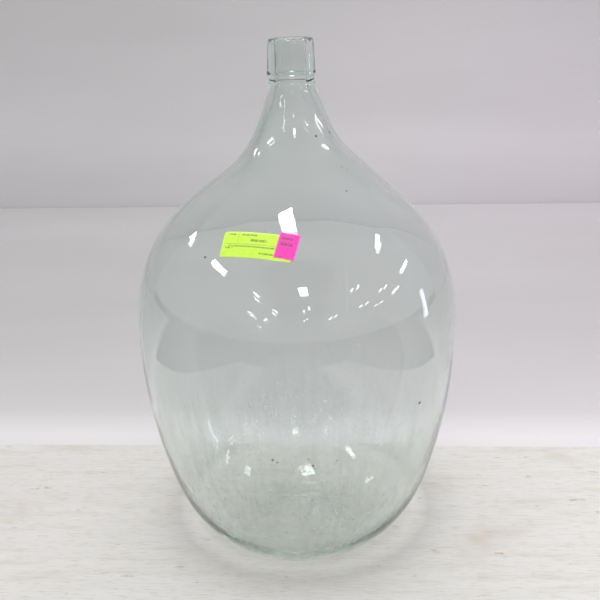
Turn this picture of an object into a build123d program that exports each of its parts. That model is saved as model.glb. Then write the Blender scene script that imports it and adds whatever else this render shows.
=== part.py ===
"""Glass demijohn carboy, hand blown, with a tooled lip and two paper labels.

Millimetres, +Z up. The origin is on the bottle's axis, in the plane it stands on.
-Y is the front, the side with the labels.
"""
import os

from build123d import *

# Overall size
HEIGHT = 531.0
BODY_RADIUS = 162.7

# Neck and mouth
BORE_RADIUS = 14.0
BORE_LENGTH = 40.0
MOUTH_EDGE = 1.2
NECK_RADIUS = 18.5
NECK_ROOT_RADIUS = 21.4

# Tooled lip, a band of glass applied round the end of the neck
LIP_HEIGHT = 33.5
LIP_TOP_RADIUS = 21.4
LIP_BOTTOM_RADIUS = 23.2
LIP_TOP_EDGE = 1.6
LIP_BOTTOM_EDGE = 1.0

# Foot ring, and the push-up inside it
FOOT_INNER_RADIUS = 57.0
FOOT_OUTER_RADIUS = 62.0
PUSH_UP_HEIGHT = 12.0
BASE_THICKNESS = 6.5

# Labels: the paper, and the place on the shoulder they are centred on
PAPER = 0.15
LABEL_RADIUS = 119.4
LABEL_Z = 364.6
LABEL_SLOPE = 44.0

# Yellow label
YELLOW_SIZE = (66.7, 25.4)
YELLOW_CORNER = 2.5
YELLOW_AZIMUTH = -106.0
YELLOW_TURN = -1.5

# Pink label, stuck over the yellow one's right-hand end
PINK_SIZE = (18.5, 25.5)
PINK_CORNER = 1.0
PINK_AZIMUTH = -93.2
PINK_TURN = -13.0

# Derived
LIP_Z = HEIGHT - LIP_HEIGHT
BORE_Z = HEIGHT - BORE_LENGTH

# Walls from the foot to the neck, as (radius, height)
OUTER_WALL = [
    (FOOT_OUTER_RADIUS, 0.0),
    (81.0, 7.9),
    (98.0, 20.3),
    (125.2, 54.0),
    (145.0, 107.5),
    (158.0, 172.0),
    (BODY_RADIUS, 238.0),
    (157.6, 299.0),
    (133.5, 350.0),
    (89.4, 392.8),
    (42.9, 437.8),
    (25.6, 478.0),
    (NECK_ROOT_RADIUS, LIP_Z),
]
INNER_WALL = [
    (BORE_RADIUS, BORE_Z),
    (19.2, 474.0),
    (37.4, 434.0),
    (85.6, 389.2),
    (130.4, 347.2),
    (154.1, 297.5),
    (159.1, 238.0),
    (154.3, 172.8),
    (141.0, 109.0),
    (121.4, 57.6),
    (95.2, 25.2),
    (79.4, 12.9),
    (63.0, 6.9),
    (46.0, 9.3),
    (28.0, 15.2),
    (0.0, PUSH_UP_HEIGHT + BASE_THICKNESS),
]
PUSH_UP_WALL = [
    (0.0, PUSH_UP_HEIGHT),
    (28.0, 8.8),
    (46.0, 2.7),
    (FOOT_INNER_RADIUS, 0.0),
]

os.makedirs("parts", exist_ok=True)


def outer_wall():
    """Add the curve of the outer wall, foot to neck, to the current line."""
    return Spline(*OUTER_WALL, tangents=[(1.0, 0.25), (0.0, 1.0)], tangent_scalars=[1.0, 1.0])


def label_plane(azimuth, turn):
    """Plane on the shoulder at an azimuth, X running round the bottle and then turned."""
    outward = Vector(1.0, 0.0, 0.0).rotate(Axis.Z, azimuth)
    around = outward.rotate(Axis.Z, 90.0)
    normal = outward.rotate(Axis((0.0, 0.0, 0.0), around), -LABEL_SLOPE)
    along = around.rotate(Axis((0.0, 0.0, 0.0), normal), turn)
    return Plane(origin=outward * LABEL_RADIUS + Vector(0.0, 0.0, LABEL_Z), x_dir=along, z_dir=normal)


# Glass body: foot, push-up, wall, shoulder and neck, blown as one piece
with BuildPart() as glass_body:
    with BuildSketch(Plane.XZ):
        with BuildLine():
            Spline(*PUSH_UP_WALL, tangents=[(1.0, 0.0), (1.0, -0.12)], tangent_scalars=[1.0, 1.0])
            Line((FOOT_INNER_RADIUS, 0.0), (FOOT_OUTER_RADIUS, 0.0))
            outer_wall()
            Polyline((NECK_ROOT_RADIUS, LIP_Z), (NECK_RADIUS, LIP_Z), (NECK_RADIUS, HEIGHT))
            Polyline((NECK_RADIUS, HEIGHT), (BORE_RADIUS, HEIGHT), (BORE_RADIUS, BORE_Z))
            Spline(*INNER_WALL, tangents=[(0.0, -1.0), (-1.0, 0.0)], tangent_scalars=[1.0, 1.0])
            Line(INNER_WALL[-1], PUSH_UP_WALL[0])
        make_face()
    revolve(axis=Axis.Z)
    rims = glass_body.edges().filter_by(GeomType.CIRCLE).group_by(Axis.Z)[-1]
    chamfer(rims.sort_by(SortBy.RADIUS)[0], length=MOUTH_EDGE)
glass_body.part.label = "glass_body"
export_step(glass_body.part, "parts/glass_body.step")

# Lip: the applied band, wider at the bottom, its edges softened by the tooling
with BuildPart() as lip_collar:
    with BuildSketch(Plane.XZ):
        with BuildLine():
            Polyline(
                (NECK_RADIUS, LIP_Z),
                (LIP_BOTTOM_RADIUS, LIP_Z),
                (LIP_TOP_RADIUS, HEIGHT),
                (NECK_RADIUS, HEIGHT),
                close=True,
            )
        make_face()
    revolve(axis=Axis.Z)
    fillet(lip_collar.edges().group_by(Axis.Z)[-1].sort_by(SortBy.RADIUS)[-1], radius=LIP_TOP_EDGE)
    fillet(lip_collar.edges().group_by(Axis.Z)[0].sort_by(SortBy.RADIUS)[-1], radius=LIP_BOTTOM_EDGE)
lip_collar.part.label = "lip_collar"
export_step(lip_collar.part, "parts/lip_collar.step")

def paper_label(plane, size, corner, layer):
    """A rounded paper label that follows the wall, in the first or a later layer of paper."""
    with BuildPart() as label:
        with BuildSketch(plane):
            RectangleRounded(*size, radius=corner)
        extrude(amount=20.0, both=True)
        patch = label.part & glass_body.faces().sort_by(SortBy.AREA)[-1]
        for _ in range(layer):
            thicken(patch, amount=PAPER, mode=Mode.REPLACE)
            patch = label.faces().sort_by(Axis(plane.origin, plane.z_dir))[-1]
    return label.part


# Yellow label, on the glass
yellow_plane = label_plane(YELLOW_AZIMUTH, YELLOW_TURN)
yellow_label = paper_label(yellow_plane, YELLOW_SIZE, YELLOW_CORNER, layer=1)
yellow_label.label = "yellow_label"
export_step(yellow_label, "parts/yellow_label.step")

# Pink label, over the yellow one's end, so one sheet of paper further out
pink_plane = label_plane(PINK_AZIMUTH, PINK_TURN)
pink_label = paper_label(pink_plane, PINK_SIZE, PINK_CORNER, layer=2)
pink_label.label = "pink_label"
export_step(pink_label, "parts/pink_label.step")
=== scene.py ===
import math

import bpy
import numpy as np
from mathutils import Matrix, Vector, noise


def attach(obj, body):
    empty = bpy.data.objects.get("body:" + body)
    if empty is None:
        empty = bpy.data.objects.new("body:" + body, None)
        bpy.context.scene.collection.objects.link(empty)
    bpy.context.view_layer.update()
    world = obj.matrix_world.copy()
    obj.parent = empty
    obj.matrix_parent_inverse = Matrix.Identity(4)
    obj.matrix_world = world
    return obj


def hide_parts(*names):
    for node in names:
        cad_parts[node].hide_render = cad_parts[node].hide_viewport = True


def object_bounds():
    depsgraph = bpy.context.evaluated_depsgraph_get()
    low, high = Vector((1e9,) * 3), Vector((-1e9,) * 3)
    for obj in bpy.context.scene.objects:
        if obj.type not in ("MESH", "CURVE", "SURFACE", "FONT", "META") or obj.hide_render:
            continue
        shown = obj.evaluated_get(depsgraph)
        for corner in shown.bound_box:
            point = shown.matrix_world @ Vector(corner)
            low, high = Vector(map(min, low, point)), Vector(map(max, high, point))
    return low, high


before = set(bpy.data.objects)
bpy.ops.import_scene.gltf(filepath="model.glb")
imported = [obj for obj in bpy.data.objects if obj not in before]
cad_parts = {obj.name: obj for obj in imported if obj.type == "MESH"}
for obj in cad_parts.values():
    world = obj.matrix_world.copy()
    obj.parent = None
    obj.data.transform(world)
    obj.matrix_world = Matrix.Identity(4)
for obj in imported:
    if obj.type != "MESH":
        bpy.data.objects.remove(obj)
cad_low, cad_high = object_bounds()

MM = 0.001
HEIGHT = cad_high.z / MM

# The bottle's walls, as (radius, height) in millimetres, the same points as the CAD
FOOT_INNER = 57.0
FOOT_OUTER = 62.0
LIP_Z = HEIGHT - 33.5
BORE_RADIUS = 14.0
BORE_Z = HEIGHT - 40.0
OUTER_WALL = [
    (FOOT_OUTER, 0.0), (81.0, 7.9), (98.0, 20.3), (125.2, 54.0), (145.0, 107.5), (158.0, 172.0),
    (162.7, 238.0), (157.6, 299.0), (133.5, 350.0), (89.4, 392.8), (42.9, 437.8), (25.6, 478.0),
    (21.4, LIP_Z),
]
INNER_WALL = [
    (BORE_RADIUS, BORE_Z), (19.2, 474.0), (37.4, 434.0), (85.6, 389.2), (130.4, 347.2),
    (154.1, 297.5), (159.1, 238.0), (154.3, 172.8), (141.0, 109.0), (121.4, 57.6), (95.2, 25.2),
    (79.4, 12.9), (63.0, 6.9), (46.0, 9.3), (28.0, 15.2), (0.0, 18.5),
]
PUSH_UP_WALL = [(0.0, 12.0), (28.0, 8.8), (46.0, 2.7), (FOOT_INNER, 0.0)]
LIP_OUTSIDE = [
    (21.5, LIP_Z - 1.4), (21.75, LIP_Z - 0.5), (22.6, LIP_Z + 0.1), (23.1, LIP_Z + 1.2),
    (23.1, LIP_Z + 4.0), (22.5, LIP_Z + 14.0), (21.75, LIP_Z + 26.0), (21.35, HEIGHT - 3.2),
    (21.1, HEIGHT - 1.6), (20.3, HEIGHT - 0.5), (19.0, HEIGHT), (16.6, HEIGHT), (15.2, HEIGHT - 0.4),
    (14.3, HEIGHT - 1.3), (BORE_RADIUS, HEIGHT - 2.6),
]


# ---------------------------------------------------------------- helpers
def spline(points, start, end, per_span=10):
    """Points along the clamped cubic through some points, with given end directions."""
    p = np.array(points, float)
    h = np.hypot(*np.diff(p, axis=0).T)
    n = len(p)
    a = np.zeros((n, n))
    b = np.zeros((n, 2))
    a[0, 0] = a[-1, -1] = 1.0
    b[0] = np.array(start) / np.hypot(*start)
    b[-1] = np.array(end) / np.hypot(*end)
    for i in range(1, n - 1):
        a[i, i - 1], a[i, i + 1] = 1 / h[i - 1], 1 / h[i]
        a[i, i] = 2 * (1 / h[i - 1] + 1 / h[i])
        b[i] = 3 * ((p[i] - p[i - 1]) / h[i - 1] ** 2 + (p[i + 1] - p[i]) / h[i] ** 2)
    m = np.linalg.solve(a, b)
    out = []
    for i in range(n - 1):
        for t in np.arange(per_span) / per_span:
            out.append(
                (2 * t**3 - 3 * t**2 + 1) * p[i]
                + (t**3 - 2 * t**2 + t) * h[i] * m[i]
                + (3 * t**2 - 2 * t**3) * p[i + 1]
                + (t**3 - t**2) * h[i] * m[i + 1]
            )
    out.append(p[-1])
    return out


def ease(x, low, high):
    """0 below low, 1 above high, smooth between."""
    t = min(1.0, max(0.0, (x - low) / (high - low)))
    return t * t * (3 - 2 * t)


OUTER = spline(OUTER_WALL, (1.0, 0.25), (0.0, 1.0))
OUTER_R = np.array([q[0] for q in OUTER])
OUTER_Z = np.array([q[1] for q in OUTER])
INNER = spline(INNER_WALL, (0, -1), (-1, 0))


def wall_radius(z):
    """Radius of the outer wall at a height, in millimetres."""
    return float(np.interp(z, OUTER_Z, OUTER_R))


# How the hand-blown bottle strays from the ideal one, in millimetres. A wave is (height, length,
# start) and a swelling is (how far, at which height, how far it reaches up and down).
SKIN_WAVES = [(0.16, 80.0, (0, 0, 0)), (0.02, 24.0, (7, 3, 1))]
INSIDE_WAVES = [(0.22, 60.0, (20, 9, 4)), (0.035, 19.0, (0, 0, 0))]
RIB_HEIGHT, RIB_FINENESS, RIB_LENGTH = 0.45, 3.1, 90.0
SHOULDER_LEAN = (4.6, 413.0, 22.0)
NECK_LEAN = 1.3
FRONT_BULGE = (1.3, 385.0, 18.0)
FRONT_HOLLOW = (1.8, 435.0, 22.0)
LIP_TILT = 0.016
ON_AXIS = 1e-6


def waver(q, waves):
    return sum(height * noise.noise(q / length + Vector(start)) for height, length, start in waves)


def swelling(z, how_far, middle, reach):
    return how_far * math.exp(-(((z - middle) / reach) ** 2))


def blown(x, y, z, inside):
    """Where a point of the ideal bottle lies on the hand-blown one, in metres."""
    r = math.hypot(x, y)
    if r > ON_AXIS:
        # the foot and the tooled neck are true, and the rest wavers
        free = ease(z, 12, 60) * (1 - ease(z, 455, 492))
        grow = 1 + free * waver(Vector((x, y, z)), SKIN_WAVES + INSIDE_WAVES * inside) / r
        x, y = x * grow, y * grow
    if inside and r > ON_AXIS:
        around = Vector((x / r * RIB_FINENESS, y / r * RIB_FINENESS, z / RIB_LENGTH))
        grow = 1 + RIB_HEIGHT * ease(z, 470, 492) * noise.noise(around) / r
        x, y = x * grow, y * grow
    # the shoulder leans over to one side; its front and back stay where they are
    lean = swelling(z, *SHOULDER_LEAN) + NECK_LEAN * ease(z, 425, 450) * (1 - ease(z, 470, 500))
    x += lean * (x / max(r, 1.0)) ** 2
    # the front of the shoulder is a little fuller, and the front of the neck's foot hollower
    front = max(0.0, -y / max(r, 1.0)) ** 2
    y -= front * (swelling(z, *FRONT_BULGE) - swelling(z, *FRONT_HOLLOW))
    z += LIP_TILT * x * ease(z, 485, 500)
    return Vector((x, y, z)) * MM


def new_object(name, mesh, material=None):
    obj = bpy.data.objects.new(name, mesh)
    bpy.context.scene.collection.objects.link(obj)
    if material:
        mesh.materials.append(material)
    return obj


# ---------------------------------------------------------------- node helpers
class Graph:
    """A small wrapper for building a material's nodes."""

    def __init__(self, name):
        self.material = bpy.data.materials.new(name)
        self.material.use_nodes = True
        self.tree = self.material.node_tree
        self.shader = self.tree.nodes["Principled BSDF"]
        self.output = self.tree.nodes["Material Output"]

    def node(self, kind, **values):
        made = self.tree.nodes.new(kind)
        for key, value in values.items():
            if key in made.inputs:
                made.inputs[key].default_value = value
            else:
                setattr(made, key, value)
        return made

    def link(self, a, b):
        self.tree.links.new(a, b)
        return b

    def position(self, scale):
        """Object coordinates in metres, stretched by a scale for each axis."""
        coords = self.node("ShaderNodeTexCoord")
        mapping = self.node("ShaderNodeMapping")
        mapping.inputs["Scale"].default_value = scale
        self.link(coords.outputs["Object"], mapping.inputs["Vector"])
        return mapping.outputs["Vector"]

    def place(self):
        """Object coordinates in metres, as sockets called X, Y and Z."""
        parts = self.node("ShaderNodeSeparateXYZ")
        self.link(self.position((1, 1, 1)), parts.inputs[0])
        return parts.outputs

    def mirrored(self, once=False):
        """1 where a camera ray arrives by a mirror reflection, and 0 elsewhere.

        It lets reflections in the glass have their own lamps and a darker floor. once leaves out
        light that has been thrown about inside the wall, which comes from all round.
        """
        path = self.node("ShaderNodeLightPath").outputs
        # a ray sent out to sample a light counts one bounce more than the kinds add up to
        kinds = self.math("ADD", path["Glossy Depth"], path["Transmission Depth"])
        kinds = self.math("ADD", kinds, path["Diffuse Depth"])
        direct = self.math("LESS_THAN", self.math("SUBTRACT", path["Ray Depth"], kinds), 0.5)
        no_diffuse = self.math("LESS_THAN", path["Diffuse Depth"], 0.5)
        by_mirror = self.math("GREATER_THAN", path["Glossy Depth"], 0.5)
        if once:
            single = self.math("LESS_THAN", path["Glossy Depth"], 1.5)
            by_mirror = self.math("MULTIPLY", by_mirror, single)
        return self.math("MULTIPLY", self.math("MULTIPLY", direct, no_diffuse), by_mirror)

    def by_ray(self, usual, in_glass, once=False):
        """Give the surface one shader as a rule, and another where the glass mirrors it."""
        choose = self.node("ShaderNodeMixShader")
        self.link(self.mirrored(once), choose.inputs[0])
        self.link(usual.outputs[0], choose.inputs[1])
        self.link(in_glass.outputs[0], choose.inputs[2])
        self.link(choose.outputs[0], self.output.inputs["Surface"])

    def noise(self, scale, detail=4.0, rough=0.5, stretch=(1, 1, 1)):
        tex = self.node("ShaderNodeTexNoise")
        tex.inputs["Scale"].default_value = scale
        tex.inputs["Detail"].default_value = detail
        tex.inputs["Roughness"].default_value = rough
        self.link(self.position(stretch), tex.inputs["Vector"])
        return tex.outputs["Fac"]

    def ramp(self, source, *stops):
        made = self.node("ShaderNodeValToRGB")
        el = made.color_ramp.elements
        while len(el) < len(stops):
            el.new(0.5)
        for e, (at, colour) in zip(el, stops):
            e.position = at
            c = colour if isinstance(colour, tuple) else (colour,) * 3
            e.color = (*c, 1.0)
        self.link(source, made.inputs["Fac"])
        return made.outputs["Color"]

    def math(self, operation, *values):
        made = self.node("ShaderNodeMath", operation=operation)
        for socket, value in zip(made.inputs, values):
            if isinstance(value, (int, float)):
                socket.default_value = value
            else:
                self.link(value, socket)
        return made.outputs[0]

    def mix(self, factor, a, b, blend="MIX"):
        made = self.node("ShaderNodeMix", data_type="RGBA", blend_type=blend)
        for socket, value in ((made.inputs[0], factor), (made.inputs[6], a), (made.inputs[7], b)):
            if isinstance(value, tuple):
                socket.default_value = (*value, 1.0)
            elif isinstance(value, (int, float)):
                socket.default_value = value
            else:
                self.link(value, socket)
        return made.outputs[2]

    def bump(self, height, strength, distance):
        made = self.node("ShaderNodeBump")
        made.inputs["Strength"].default_value = strength
        made.inputs["Distance"].default_value = distance
        self.link(height, made.inputs["Height"])
        self.link(made.outputs["Normal"], self.shader.inputs["Normal"])


# ---------------------------------------------------------------- camera
def make_camera():
    """Stands in front of the bottle, a little above it, looking down."""
    pitch, roll = math.radians(20.5), math.radians(1.3)
    forward = Vector((0, math.cos(pitch), -math.sin(pitch)))
    level, upright = Vector((1, 0, 0)), Vector((0, math.sin(pitch), math.cos(pitch)))
    right = level * math.cos(roll) - upright * math.sin(roll)
    up = level * math.sin(roll) + upright * math.cos(roll)
    data = bpy.data.cameras.new("camera")
    data.sensor_width, data.lens, data.clip_start = 36.0, 51.48, 0.01
    cam = bpy.data.objects.new("camera", data)
    bpy.context.scene.collection.objects.link(cam)
    place = Matrix((right, up, -forward)).transposed().to_4x4()
    place.translation = Vector((3.4, -833.0, 582.0)) * MM
    cam.matrix_world = place
    bpy.context.scene.camera = cam


make_camera()


# ---------------------------------------------------------------- materials
# Flecks, as (azimuth, height, half width) in degrees and millimetres
FLECKS = [
    (111.0, 27.0, 1.5), (108.0, 24.0, 1.1), (84.0, 24.0, 1.2), (80.0, 19.0, 1.4), (78.0, 17.0, 0.9),
    (62.0, 26.0, 1.1), (-58.0, 60.0, 0.9), (-40.6, 414.0, 0.9), (-37.7, 411.0, 0.8), (-52.0, 397.0, 1.0),
    (-128.4, 350.0, 1.1), (-44.7, 207.0, 1.5), (-52.0, 443.0, 1.1), (-20.0, 443.0, 1.2),
]
GLASS_IOR = 1.51
GLASS_TINT, GLASS_DENSITY = (0.10, 0.78, 0.47), 5.0
SKIN_COLOUR, HEEL_COLOUR, FLECK_COLOUR = (0.925, 0.945, 0.935), (0.62, 0.74, 0.70), (0.11, 0.09, 0.07)
# how much of the light that passes is stopped by the film and by a fleck
FILM_HAZE, FLECK_HAZE = 0.55, 0.8
FLECK_RAGGED = 0.003


def inner_point(azimuth, z):
    """Where the inner wall is at an azimuth and a height, in metres."""
    falling = [q for q in INNER if q[0] > 60 or q[1] > 400]
    r = float(np.interp(z, [q[1] for q in falling][::-1], [q[0] for q in falling][::-1]))
    a = math.radians(azimuth)
    return blown(r * math.cos(a), r * math.sin(a), z, True)


def fleck_mask(g):
    """Dark flecks of dried yeast on the inside, with ragged edges."""
    wobble = g.node("ShaderNodeTexNoise", Scale=900.0, Detail=2.0)
    g.link(g.position((1, 1, 1)), wobble.inputs["Vector"])
    nudge = g.node("ShaderNodeVectorMath", operation="MULTIPLY_ADD")
    g.link(wobble.outputs["Color"], nudge.inputs[0])
    nudge.inputs[1].default_value = (FLECK_RAGGED,) * 3
    g.link(g.position((1, 1, 1)), nudge.inputs[2])
    flecks = 0.0
    for azimuth, z, half_width in FLECKS:
        away = g.node("ShaderNodeVectorMath", operation="DISTANCE")
        g.link(nudge.outputs["Vector"], away.inputs[0])
        # the wobble is 0 to 1, so its middle shifts everything by half its size
        away.inputs[1].default_value = inner_point(azimuth, z) + Vector((FLECK_RAGGED / 2,) * 3)
        flecks = g.math("MAXIMUM", flecks, g.math("LESS_THAN", away.outputs["Value"], half_width * MM))
    return flecks


def film_mask(g):
    """The dried film inside: runs, spatter, and patches where it is thinner."""
    streaks = g.ramp(g.noise(85.0, 6.0, 0.65, (1.0, 1.0, 0.09)), (0.44, 0.0), (0.72, 1.0))
    spatter = g.ramp(g.noise(240.0, 4.0, 0.7, (1.0, 1.0, 0.6)), (0.52, 0.0), (0.70, 1.0))
    patches = g.ramp(g.noise(13.0, 4.0, 0.6), (0.3, 0.25), (0.7, 1.0))
    inside = g.node("ShaderNodeAttribute", attribute_name="film")
    film = g.math("MULTIPLY", g.math("MAXIMUM", streaks, spatter), patches)
    return g.math("MULTIPLY", film, inside.outputs["Fac"])


def glass_material():
    """Pale green glass, with a dried film on its inside that thins out towards the shoulder."""
    g = Graph("carboy_glass")
    s = g.shader.inputs
    # the glass is thick at the heel, and looks greenest where it is seen edge on there
    low_down = g.node("ShaderNodeAttribute", attribute_name="heel")
    edge_on = g.ramp(g.node("ShaderNodeLayerWeight").outputs["Facing"], (0.40, 0.0), (0.68, 1.0))
    skin = g.mix(g.math("MULTIPLY", low_down.outputs["Fac"], edge_on), SKIN_COLOUR, HEEL_COLOUR)
    flecks = fleck_mask(g)
    g.link(g.mix(flecks, skin, FLECK_COLOUR), s["Base Color"])
    s["IOR"].default_value = GLASS_IOR
    s["Roughness"].default_value = 0.0
    film_haze = g.math("MULTIPLY", film_mask(g), FILM_HAZE)
    haze = g.math("MAXIMUM", film_haze, g.math("MULTIPLY", flecks, FLECK_HAZE))
    g.link(g.math("SUBTRACT", 1.0, haze), s["Transmission Weight"])
    absorb = g.node("ShaderNodeVolumeAbsorption", Color=(*GLASS_TINT, 1), Density=GLASS_DENSITY)
    g.link(absorb.outputs[0], g.output.inputs["Volume"])
    return g.material


clear_glass = glass_material()

INK_COLOUR = (0.10, 0.10, 0.07)
PAPER_RIM = 1.1


def paper_material(name, colour, edge_colour, marks, size):
    """Matt fluorescent paper with fibres and a creased surface, whose light and shade are also painted into
    its colour, and generic printed marks.

    Each mark is (middle x, middle y, width, height, broken) in millimetres from the middle of the
    sheet; a broken one is a row of dashes like small print. size is the sheet's.
    """
    g = Graph(name)
    uv = g.node("ShaderNodeUVMap", uv_map="sheet_mm")
    place = g.node("ShaderNodeSeparateXYZ")
    g.link(uv.outputs["UV"], place.inputs[0])
    x, y = place.outputs["X"], place.outputs["Y"]

    def sheet_noise(scale, stretch, detail=4.0):
        mapping = g.node("ShaderNodeMapping")
        mapping.inputs["Scale"].default_value = stretch
        g.link(uv.outputs["UV"], mapping.inputs["Vector"])
        tex = g.node("ShaderNodeTexNoise", Scale=scale, Detail=detail)
        g.link(mapping.outputs["Vector"], tex.inputs["Vector"])
        return tex.outputs["Fac"]

    fibres = sheet_noise(2.2, (1.0, 2.4, 1.0), 6.0)
    crease_relief_and_shade = sheet_noise(0.16, (1.0, 1.6, 1.0))
    wear = sheet_noise(0.9, (1.0, 1.0, 1.0))
    letters = g.ramp(sheet_noise(1.5, (1.0, 0.05, 1.0), 2.0), (0.43, 0.0), (0.46, 1.0))
    tone = g.mix(1.0, colour, g.ramp(fibres, (0.3, 0.93), (0.7, 1.04)), "MULTIPLY")
    # painted light and shade of the creases, a little lighter and darker across the sheet; the same noise
    # makes the bump too
    tone = g.mix(1.0, tone, g.ramp(crease_relief_and_shade, (0.35, 0.95), (0.65, 1.03)), "MULTIPLY")
    near_side = g.math("SUBTRACT", g.math("ABSOLUTE", x), size[0] / 2 - PAPER_RIM)
    near_end = g.math("SUBTRACT", g.math("ABSOLUTE", y), size[1] / 2 - PAPER_RIM)
    rim = g.math("ADD", g.math("MAXIMUM", near_side, near_end), g.math("MULTIPLY", wear, 0.9))
    tone = g.mix(g.ramp(rim, (0.45, 0.0), (1.0, 0.8)), tone, edge_colour)
    ink = 0.0
    for mid_x, mid_y, width, height, broken in marks:
        dx = g.math("DIVIDE", g.math("ABSOLUTE", g.math("SUBTRACT", x, mid_x)), width / 2)
        dy = g.math("DIVIDE", g.math("ABSOLUTE", g.math("SUBTRACT", y, mid_y)), height / 2)
        inside = g.math("LESS_THAN", g.math("MAXIMUM", dx, dy), 1.0)
        if broken:
            inside = g.math("MULTIPLY", inside, letters)
        ink = g.math("MAXIMUM", ink, inside)
    ink = g.math("MULTIPLY", ink, g.ramp(wear, (0.3, 0.5), (0.6, 0.82)))
    g.link(g.mix(ink, tone, INK_COLOUR), g.shader.inputs["Base Color"])
    g.link(g.ramp(fibres, (0.3, 0.52), (0.7, 0.68)), g.shader.inputs["Roughness"])
    g.shader.inputs["Specular IOR Level"].default_value = 0.35
    g.bump(g.math("ADD", g.math("MULTIPLY", fibres, 0.25), crease_relief_and_shade), 0.5, 0.0006)
    return g.material


YELLOW_SIZE = (66.7, 25.4)
PINK_SIZE = (18.5, 25.5)
yellow = paper_material(
    "yellow_paper", (0.56, 0.86, 0.09), (0.68, 0.95, 0.22),
    [
        (-25.7, 10.2, 7.4, 1.5, True), (-18.7, 7.0, 0.3, 9.0, False), (-9.0, 9.8, 14.0, 1.6, True),
        (0.6, 4.6, 14.6, 2.4, True), (0.0, 0.6, 58.0, 0.35, False), (-25.7, -3.4, 7.4, 1.7, True),
        (-3.6, -1.6, 45.0, 1.5, True), (11.6, -7.6, 16.6, 1.7, True), (24.6, 6.2, 0.3, 7.6, False),
    ],
    YELLOW_SIZE,
)
pink = paper_material(
    "pink_paper", (0.94, 0.07, 0.46), (1.0, 0.20, 0.58),
    [(-1.2, 7.1, 10.4, 2.6, True), (-1.2, 1.4, 11.4, 3.4, True)],
    PINK_SIZE,
)


# ---------------------------------------------------------------- glass
AROUND = 224


def film_at(z):
    """How thick the dried film inside is at a height."""
    return (0.45 + 0.55 * ease(z, 14, 60)) * (1 - 0.75 * ease(z, 90, 230)) * (1 - ease(z, 230, 330))


def heel_at(z):
    """1 at the thick heel, and 0 further up."""
    return 1 - ease(z, 45, 95)


def glass_rings():
    """The skin's rings as (radius, height, inside), from the push-up's middle out, over and in."""
    outside = spline(PUSH_UP_WALL, (1, 0), (1, -0.12), 8)[:-1]
    outside += [(FOOT_INNER, 0.0), (59.5, 0.0), (61.2, 0.0)]
    outside += OUTER[1:-3]
    outside += spline([OUTER[-4]] + LIP_OUTSIDE, (-0.1, 1), (0, -1), 5)[:-1]
    within = [(BORE_RADIUS, z) for z in np.linspace(HEIGHT - 2.6, BORE_Z, 12)[:-1]] + INNER
    return [(max(q[0], 0.0), q[1], part is within) for part in (outside, within) for q in part]


def make_glass():
    """The whole bottle as one closed skin, outside and inside, so that light bends as in glass."""
    verts, faces, films, heels, loops = [], [], [], [], []
    for r, z, inside in glass_rings():
        steps = 1 if r < ON_AXIS else AROUND
        loops.append(list(range(len(verts), len(verts) + steps)))
        for k in range(steps):
            a = 2 * math.pi * k / AROUND
            verts.append(blown(r * math.cos(a), r * math.sin(a), z, inside))
        films += [film_at(z) if inside else 0.0] * steps
        heels += [0.0 if inside or steps == 1 else heel_at(z)] * steps
    for a, b in zip(loops, loops[1:]):
        for k in range(AROUND):
            j = (k + 1) % AROUND
            if len(a) == 1:
                faces.append((a[0], b[j], b[k]))
            elif len(b) == 1:
                faces.append((a[k], a[j], b[0]))
            else:
                faces.append((a[k], a[j], b[j], b[k]))
    mesh = bpy.data.meshes.new("carboy_glass")
    mesh.from_pydata(verts, [], faces)
    mesh.materials.append(clear_glass)
    mesh.attributes.new("film", "FLOAT", "POINT").data.foreach_set("value", films)
    mesh.attributes.new("heel", "FLOAT", "POINT").data.foreach_set("value", heels)
    mesh.polygons.foreach_set("use_smooth", [True] * len(faces))
    mesh.update()
    return new_object("carboy_glass", mesh)


glass = make_glass()
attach(glass, "root")
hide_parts("glass_body", "lip_collar")


# ---------------------------------------------------------------- labels
# Where the labels' middles are on the shoulder, and how it slopes there
LABEL_RADIUS, LABEL_Z, SHOULDER_SLOPE = 119.4, 364.6, 44.0
PAPER_THICKNESS = 0.16


def label_axes(azimuth, turn):
    """A label's middle, the directions along and across it, and the one away from the glass."""
    az, sl, tn = (math.radians(v) for v in (azimuth, SHOULDER_SLOPE, turn))
    outward = Vector((math.cos(az), math.sin(az), 0))
    around = Vector((-math.sin(az), math.cos(az), 0))
    normal = outward * math.cos(sl) + Vector((0, 0, math.sin(sl)))
    along = around * math.cos(tn) + normal.cross(around) * math.sin(tn)
    return outward * LABEL_RADIUS + Vector((0, 0, LABEL_Z)), along, normal.cross(along), normal


def on_wall(point, normal):
    """The point of the wall straight behind or in front of a point, along a normal."""
    low, high = -25.0, 25.0
    for _ in range(40):
        mid = (low + high) / 2
        q = point + normal * mid
        if math.hypot(q.x, q.y) > wall_radius(q.z):
            high = mid
        else:
            low = mid
    return point + normal * low


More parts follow.
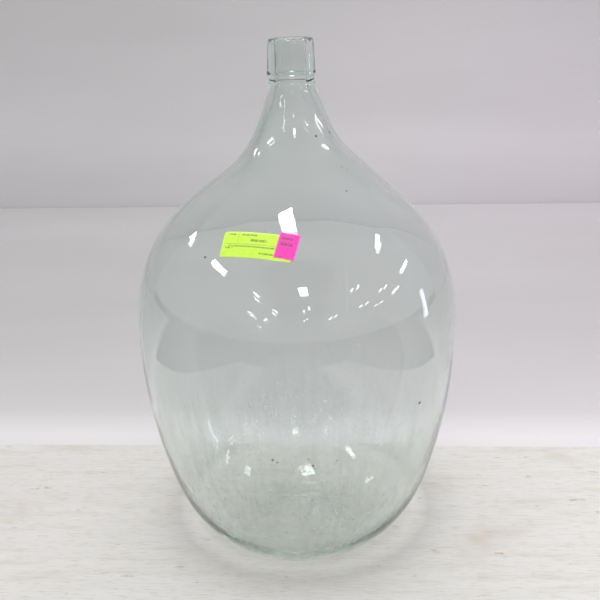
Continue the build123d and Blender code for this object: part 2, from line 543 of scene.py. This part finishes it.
def make_label(name, azimuth, turn, size, corner, lift, curl, material):
    """A sheet of paper over the shoulder. lift is its back's height off the glass."""
    origin, along, across, normal = label_axes(azimuth, turn)
    nu, nv = 64, 28
    half_w, half_h = size[0] / 2, size[1] / 2
    verts, faces, uvs = [], [], []
    for side in (0, 1):
        for j in range(nv + 1):
            for i in range(nu + 1):
                u, v = 2 * i / nu - 1, 2 * j / nv - 1
                x, y = u * half_w, v * half_h
                # pull the grid's corners in to a rounded outline
                cx, cy = half_w - corner, half_h - corner
                if abs(x) > cx and abs(y) > cy:
                    dx, dy = abs(x) - cx, abs(y) - cy
                    reach = max(dx, dy) / max(math.hypot(dx, dy), 1e-9)
                    x = math.copysign(cx + dx * reach, x)
                    y = math.copysign(cy + dy * reach, y)
                q = on_wall(origin + along * x + across * y, normal)
                q = q + normal * (lift + curl(x / half_w, y / half_h) + PAPER_THICKNESS * side)
                verts.append(blown(q.x, q.y, q.z, False))
                uvs.append((x, y))
    row = nu + 1
    layer = row * (nv + 1)
    for j in range(nv):
        for i in range(nu):
            a = j * row + i
            faces.append((a + row, a + row + 1, a + 1, a))
            b = a + layer
            faces.append((b, b + 1, b + row + 1, b + row))
    edge = list(range(nu)) + [nu + j * row for j in range(nv)]
    edge += [nv * row + i for i in range(nu, 0, -1)] + [j * row for j in range(nv, 0, -1)]
    for a, b in zip(edge, edge[1:] + edge[:1]):
        faces.append((a, b, b + layer, a + layer))
    mesh = bpy.data.meshes.new(name)
    mesh.from_pydata(verts, [], faces)
    uv = mesh.uv_layers.new(name="sheet_mm")
    for loop in mesh.loops:
        uv.data[loop.index].uv = uvs[loop.vertex_index]
    mesh.polygons.foreach_set("use_smooth", [True] * len(faces))
    obj = new_object(name, mesh, material)
    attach(obj, "root")
    return obj


yellow_sheet = make_label(
    "yellow_sheet", -106.0, -1.5, YELLOW_SIZE, 2.5, 0.06,
    lambda u, v: 0.7 * ease(u * 0.6 - v * 0.6, 0.75, 1.2), yellow,
)
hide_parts("yellow_label")
pink_sheet = make_label(
    "pink_sheet", -93.2, -13.0, PINK_SIZE, 0.6, 0.26,
    lambda u, v: 0.9 * ease(abs(v) * 0.8 + u * 0.3, 0.75, 1.1), pink,
)
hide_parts("pink_label")


# ---------------------------------------------------------------- stage
# From here on everything is the photo's surroundings, and sizes are in metres.
SWEEP_Y = 0.17
WALL_Y = 1.475
WALL_TOP = 2.4
TABLE_FRONT_Y = -0.97
TABLE_HALF = 0.64
PAPER_HALF = 3.0
FLOOR_HALF = 8.0
# the table lies a hair below the foot, so that there is air between them as under a real bottle
TABLE_Z, PAPER_Z, FLOOR_Z = -0.0004, -0.0007, -0.0011
YAW = Matrix.Rotation(math.radians(-3.0), 4, "Z")
# how fast the stage gets lighter towards the right, and how far out that goes on
SIDE_SLOPE = 0.045 / 0.35
SIDE_REACH = 0.4
# the painted ring of light: its middle, and the distance that its ramp spans
RING_Y = 0.045
RING_SPAN = 0.2
TABLE_GAIN = 1.075
# how much light the floor and the shaded front of the table return where the glass mirrors them: painted
# shade, seen only in reflections
FLOOR_IN_GLASS = 0.17
SHADE_IN_GLASS = (0.10, 0.10, 0.10)


def quad_mesh(name, corners, material):
    """A stage piece with one flat face."""
    mesh = bpy.data.meshes.new(name)
    mesh.from_pydata([Vector(c) for c in corners], [], [tuple(range(len(corners)))])
    obj = new_object(name, mesh, material)
    return obj


def level_corners(x_from, x_to, y_from, y_to, z):
    """Corners of a level rectangle that faces up."""
    return [(x_from, y_from, z), (x_to, y_from, z), (x_to, y_to, z), (x_from, y_to, z)]


def side_tone(g, x):
    """A little darker on the left and lighter on the right, as the light falls in the room."""
    near = g.math("MAXIMUM", g.math("MINIMUM", x, SIDE_REACH), -SIDE_REACH)
    return g.math("MULTIPLY_ADD", near, SIDE_SLOPE, 1.0)


def ring_of_light(g, place):
    """Stands in for the light the bottle gathers: a faint bright ring, with a soft shade outside."""
    behind = g.math("SUBTRACT", place["Y"], RING_Y)
    squares = [g.math("MULTIPLY", v, v) for v in (place["X"], behind)]
    off_centre = g.math("SQRT", g.math("ADD", *squares))
    return g.ramp(
        g.math("MULTIPLY", off_centre, 1 / RING_SPAN),
        (0.60, 0.93), (0.65, 0.99), (0.69, 0.92), (0.74, 0.79), (0.83, 0.87), (0.97, 0.93),
    )


def shade_at_front(g, place):
    """1 at the middle of the table's front where the glass mirrors it, as if someone stood there."""
    ahead = g.ramp(g.math("MULTIPLY", place["Y"], -1.0), (0.40, 0.0), (0.46, 1.0))
    middle = g.ramp(g.math("ABSOLUTE", place["X"]), (0.26, 1.0), (0.36, 0.0))
    return g.math("MULTIPLY", g.math("MULTIPLY", ahead, middle), g.mirrored(once=True))


def table_material():
    """White paint over wood, with grain, worn flakes and brown stains, and painted light and shade: lighter
    to the right, a ring round the foot, and a dark front where the glass mirrors it.
    """
    g = Graph("table_paint")
    place = g.place()
    grain = g.noise(9.0, 8.0, 0.62, (1.0, 9.0, 1.0))
    fine = g.noise(60.0, 5.0, 0.6, (1.0, 7.0, 1.0))
    chips = g.noise(26.0, 9.0, 0.72, (1.0, 2.6, 1.0))
    stains = g.noise(7.0, 3.0, 0.6, (1.0, 1.4, 1.0))
    tone = g.ramp(
        grain, (0.28, (0.57, 0.555, 0.52)), (0.44, (0.64, 0.63, 0.61)), (0.62, (0.67, 0.66, 0.65)),
    )
    tone = g.mix(g.ramp(fine, (0.35, 0.35), (0.5, 0.0)), tone, (0.44, 0.40, 0.35))
    tone = g.mix(g.ramp(chips, (0.625, 0.0), (0.655, 0.7)), tone, (0.40, 0.33, 0.27))
    tone = g.mix(g.ramp(stains, (0.58, 0.0), (0.74, 0.45)), tone, (0.50, 0.43, 0.36))
    for layer in (side_tone(g, place["X"]), ring_of_light(g, place), (TABLE_GAIN,) * 3):
        tone = g.mix(1.0, tone, layer, "MULTIPLY")
    tone = g.mix(shade_at_front(g, place), tone, SHADE_IN_GLASS)
    g.link(tone, g.shader.inputs["Base Color"])
    g.shader.inputs["Roughness"].default_value = 0.6
    return g.material


def sweep_material():
    """Grey backdrop paper: a lying sheet, a standing one, and the dark line where they meet, with painted
    light and shade over both sheets.
    """
    g = Graph("paper_sweep")
    place = g.place()
    # the lying sheet's brightness is painted light and shade: bright just behind the table, darkest about 0.7
    # m back, lighter again towards the wall
    lying = g.ramp(
        g.math("MULTIPLY", place["Y"], 0.5),
        (0.085, 0.70), (0.10, 0.71), (0.12, 0.64), (0.135, 0.575), (0.16, 0.55), (0.20, 0.533),
        (0.264, 0.517), (0.335, 0.512), (0.42, 0.520), (0.525, 0.546), (0.63, 0.576), (0.72, 0.59),
    )
    # painted light and shade up the standing sheet: lightest a little above the floor, darker higher up
    standing = g.ramp(place["Z"], (0.0, 0.68), (0.18, 0.71), (0.29, 0.66), (0.39, 0.63), (0.53, 0.585))
    tone = g.mix(g.math("GREATER_THAN", place["Y"], WALL_Y - 0.004), lying, standing)
    off_join = g.math("ABSOLUTE", g.math("SUBTRACT", place["Y"], WALL_Y - 0.006))
    near_floor = g.math("LESS_THAN", place["Z"], 0.004)
    join = g.math("MULTIPLY", near_floor, g.math("LESS_THAN", off_join, 0.0055))
    tone = g.mix(g.math("MULTIPLY", join, 0.5), tone, (0.33, 0.32, 0.32))
    # painted shade of soft folds in the paper, a little darker and lighter in broad streaks
    fold_shade = g.ramp(g.noise(3.2, 3.0, 0.5, (0.35, 1.0, 1.6)), (0.35, 0.965), (0.65, 1.02))
    to_right = g.math("MULTIPLY_ADD", place["X"], 1.2, 0.4)
    lilac = g.ramp(to_right, (0.0, (1.0, 0.985, 1.0)), (1.0, (1.0, 0.955, 1.0)))
    for layer in (fold_shade, side_tone(g, place["X"]), lilac):
        tone = g.mix(1.0, tone, layer, "MULTIPLY")
    g.link(tone, g.shader.inputs["Base Color"])
    g.shader.inputs["Roughness"].default_value = 0.8
    return g.material


def floor_material():
    """The pale floor round the table, which is painted dark where the glass mirrors it, as a dim room would
    show in the glass.
    """
    g = Graph("plain_floor")
    spread = g.noise(2.0, 3.0)
    tone = g.ramp(spread, (0.3, (0.69, 0.68, 0.66)), (0.7, (0.73, 0.725, 0.71)))
    g.link(tone, g.shader.inputs["Base Color"])
    g.shader.inputs["Roughness"].default_value = 0.7
    g.by_ray(g.shader, g.node("ShaderNodeBsdfDiffuse", Color=(*(FLOOR_IN_GLASS,) * 3, 1)), once=True)
    return g.material


def make_sweep():
    path = [(SWEEP_Y, 0.0), (WALL_Y, 0.0), (WALL_Y, WALL_TOP)]
    verts, faces = [], []
    for y, z in path:
        verts += [(-PAPER_HALF, y, z + PAPER_Z), (PAPER_HALF, y, z + PAPER_Z)]
    for i in range(len(path) - 1):
        faces.append((2 * i, 2 * i + 1, 2 * i + 3, 2 * i + 2))
    mesh = bpy.data.meshes.new("backdrop")
    mesh.from_pydata(verts, [], faces)
    obj = new_object("backdrop", mesh, sweep_material())
    return obj


table_top = quad_mesh(
    "table_top", level_corners(-TABLE_HALF, TABLE_HALF, TABLE_FRONT_Y, SWEEP_Y, TABLE_Z), table_material(),
)
quad_mesh("floor", level_corners(-FLOOR_HALF, FLOOR_HALF, -FLOOR_HALF, FLOOR_HALF, FLOOR_Z), floor_material())
for turned in (table_top, make_sweep()):
    turned.matrix_world = YAW


# ---------------------------------------------------------------- light
# The lamps on the ceiling, as (x, y, width, length)
CEILING_Z = 2.6
LAMP_TURN = math.radians(12)
LAMP_COLOUR, LAMP_STRENGTH = (1.0, 0.99, 0.97), 26.0
LAMPS = [
    (-0.18, -0.38, 0.36, 0.56), (-3.5, 2.0, 0.5, 0.8), (-2.77, -0.87, 0.34, 0.95), (2.5, 0.17, 0.22, 0.6),
    (5.5, 0.6, 0.5, 1.1), (8.5, 4.6, 0.6, 1.2), (0.32, -3.2, 0.38, 0.62), (-2.06, -3.5, 0.28, 1.1),
    (2.84, -2.7, 0.28, 0.75), (5.2, -2.1, 0.28, 1.0), (7.4, -1.6, 0.4, 1.0), (0.7, -5.6, 0.4, 1.2),
    (-4.0, -6.5, 0.4, 1.9), (-1.7, -6.0, 0.35, 1.5), (3.7, -7.9, 0.4, 2.0), (5.3, -4.7, 0.35, 1.3),
    (7.4, -4.3, 0.4, 1.3), (-3.4, -8.4, 0.4, 1.4), (-6.3, -13.0, 0.5, 2.0), (0.9, -8.5, 0.4, 1.2),
]
# Lamps further off than this to the front, and further than that to a side, are pairs of tubes
PAIRS_BEYOND_Y, PAIRS_BEYOND_X = -2.0, 0.5
WINDOW_X, WINDOW_Y, WINDOW_TOP = 2.0, (0.22, 0.31), 0.5
WINDOW_COLOUR, WINDOW_STRENGTH = (0.80, 0.87, 1.0), 8.0
FLAG_HALF, FLAG_Y, FLAG_Z = 0.03, (-0.075, -0.045), 0.5
FLAG_COLOUR, FLAG_STRENGTH = (0.95, 0.96, 1.0), 0.5
SOFT_PLACE, SOFT_SIZE = (0.0, -0.3, 2.7), (2.4, 2.0)
SOFT_POWER, SOFT_COLOUR = 66.0, (1.0, 0.985, 0.96)
# Shares of the soft light's power, the second of which casts no shadow of the glass
SOFT_SHARES = (("soft_light", 0.28), ("soft_light_past_glass", 0.72))
ROOM_COLOUR, ROOM_STRENGTH = (0.96, 0.97, 1.0), 0.53


def lamp_material(name, colour, strength):
    """Glows for rays that are mirrored in the glass, and is clear for all others."""
    g = Graph(name)
    glow = g.node("ShaderNodeEmission", Color=(*colour, 1), Strength=strength)
    g.by_ray(g.node("ShaderNodeBsdfTransparent"), glow)
    g.material.cycles.emission_sampling = "NONE"
    return g.material


def lamp_tubes():
    """The lamps' glowing rectangles, in which most of those further off are pairs of tubes."""
    tubes = []
    for x, y, width, length in LAMPS:
        if y > PAIRS_BEYOND_Y or abs(x) < PAIRS_BEYOND_X:
            tubes.append((x, y, width, length))
            continue
        for side in (-1, 1):
            beside, ahead = side * 0.36 * width, side * 0.22 * length
            tubes.append((x + beside, y + ahead, 0.3 * width, 0.5 * length))
    return tubes


def make_lamps():
    """Ceiling lamps, seen only as reflections in the glass."""
    verts, faces = [], []
    turn = Matrix.Rotation(LAMP_TURN, 3, "Z")
    for x, y, width, length in lamp_tubes():
        for sx, sy in ((-1, -1), (-1, 1), (1, 1), (1, -1)):
            verts.append(Vector((x, y, CEILING_Z)) + turn @ Vector((sx * width, sy * length, 0)) / 2)
        faces.append(tuple(range(len(verts) - 4, len(verts))))
    mesh = bpy.data.meshes.new("ceiling_lamps")
    mesh.from_pydata(verts, [], faces)
    obj = new_object("ceiling_lamps", mesh, lamp_material("lamp", LAMP_COLOUR, LAMP_STRENGTH))
    return obj


def make_window():
    """A window beside the bottle, seen only as a reflection in the glass."""
    near, far = WINDOW_Y
    corners = [(WINDOW_X, y, z) for y, z in ((near, 0.0), (far, 0.0), (far, WINDOW_TOP), (near, WINDOW_TOP))]
    return quad_mesh("window", corners, lamp_material("daylight", WINDOW_COLOUR, WINDOW_STRENGTH))


def make_flag():
    """A card that glows about as bright as the room, seen only in reflections, which keeps the overhead
    lamp's second image off the neck.
    """
    corners = level_corners(-FLAG_HALF, FLAG_HALF, *FLAG_Y, FLAG_Z)
    return quad_mesh("flag", corners, lamp_material("card_glowing_as_room", FLAG_COLOUR, FLAG_STRENGTH))


def make_soft_light():
    """A large soft lamp straight above, which lights the stage and the paper.

    Most of it passes by the glass, which as a plain blocker would leave the table too dark.
    """
    lets_through = bpy.data.collections.new("lets_light_through")
    lets_through.objects.link(glass)
    for name, share in SOFT_SHARES:
        data = bpy.data.lights.new(name, "AREA")
        data.shape, data.size, data.size_y = "RECTANGLE", *SOFT_SIZE
        data.energy, data.color = SOFT_POWER * share, SOFT_COLOUR
        obj = bpy.data.objects.new(name, data)
        bpy.context.scene.collection.objects.link(obj)
        obj.location = SOFT_PLACE
        obj.visible_camera = obj.visible_glossy = obj.visible_transmission = False
    obj.light_linking.blocker_collection = lets_through
    lets_through.collection_objects[0].light_linking.link_state = "EXCLUDE"


def make_soft_panel():
    """What light that has passed through the glass comes from. It is left out of reflections."""
    g = Graph("soft_panel")
    width, depth = SOFT_SIZE
    brightness = SOFT_POWER / (4 * width * depth)
    glow = g.node("ShaderNodeEmission", Color=(*SOFT_COLOUR, 1), Strength=brightness)
    g.by_ray(glow, g.node("ShaderNodeBsdfTransparent"))
    g.material.cycles.emission_sampling = "NONE"
    x, y, z = SOFT_PLACE
    corners = level_corners(x - width / 2, x + width / 2, y - depth / 2, y + depth / 2, z)
    panel = quad_mesh("soft_panel", corners[::-1], g.material)
    panel.visible_camera = panel.visible_diffuse = panel.visible_glossy = panel.visible_shadow = False


def make_world():
    """The same pale room in every direction and for every ray.

    Graph.mirrored would be no use here: a ray that reaches the background counts one bounce more.
    """
    world = bpy.data.worlds.new("room")
    bpy.context.scene.world = world
    world.use_nodes = True
    pale = world.node_tree.nodes["Background"].inputs
    pale["Color"].default_value = (*ROOM_COLOUR, 1)
    pale["Strength"].default_value = ROOM_STRENGTH


for glowing in (make_lamps(), make_window(), make_flag()):
    glowing.visible_camera = glowing.visible_diffuse = glowing.visible_shadow = False
make_soft_light()
make_soft_panel()
make_world()

bpy.context.scene.view_settings.view_transform = "Standard"
cycles = bpy.context.scene.cycles
cycles.max_bounces, cycles.transmission_bounces, cycles.glossy_bounces = 40, 40, 24

bpy.context.view_layer.update()
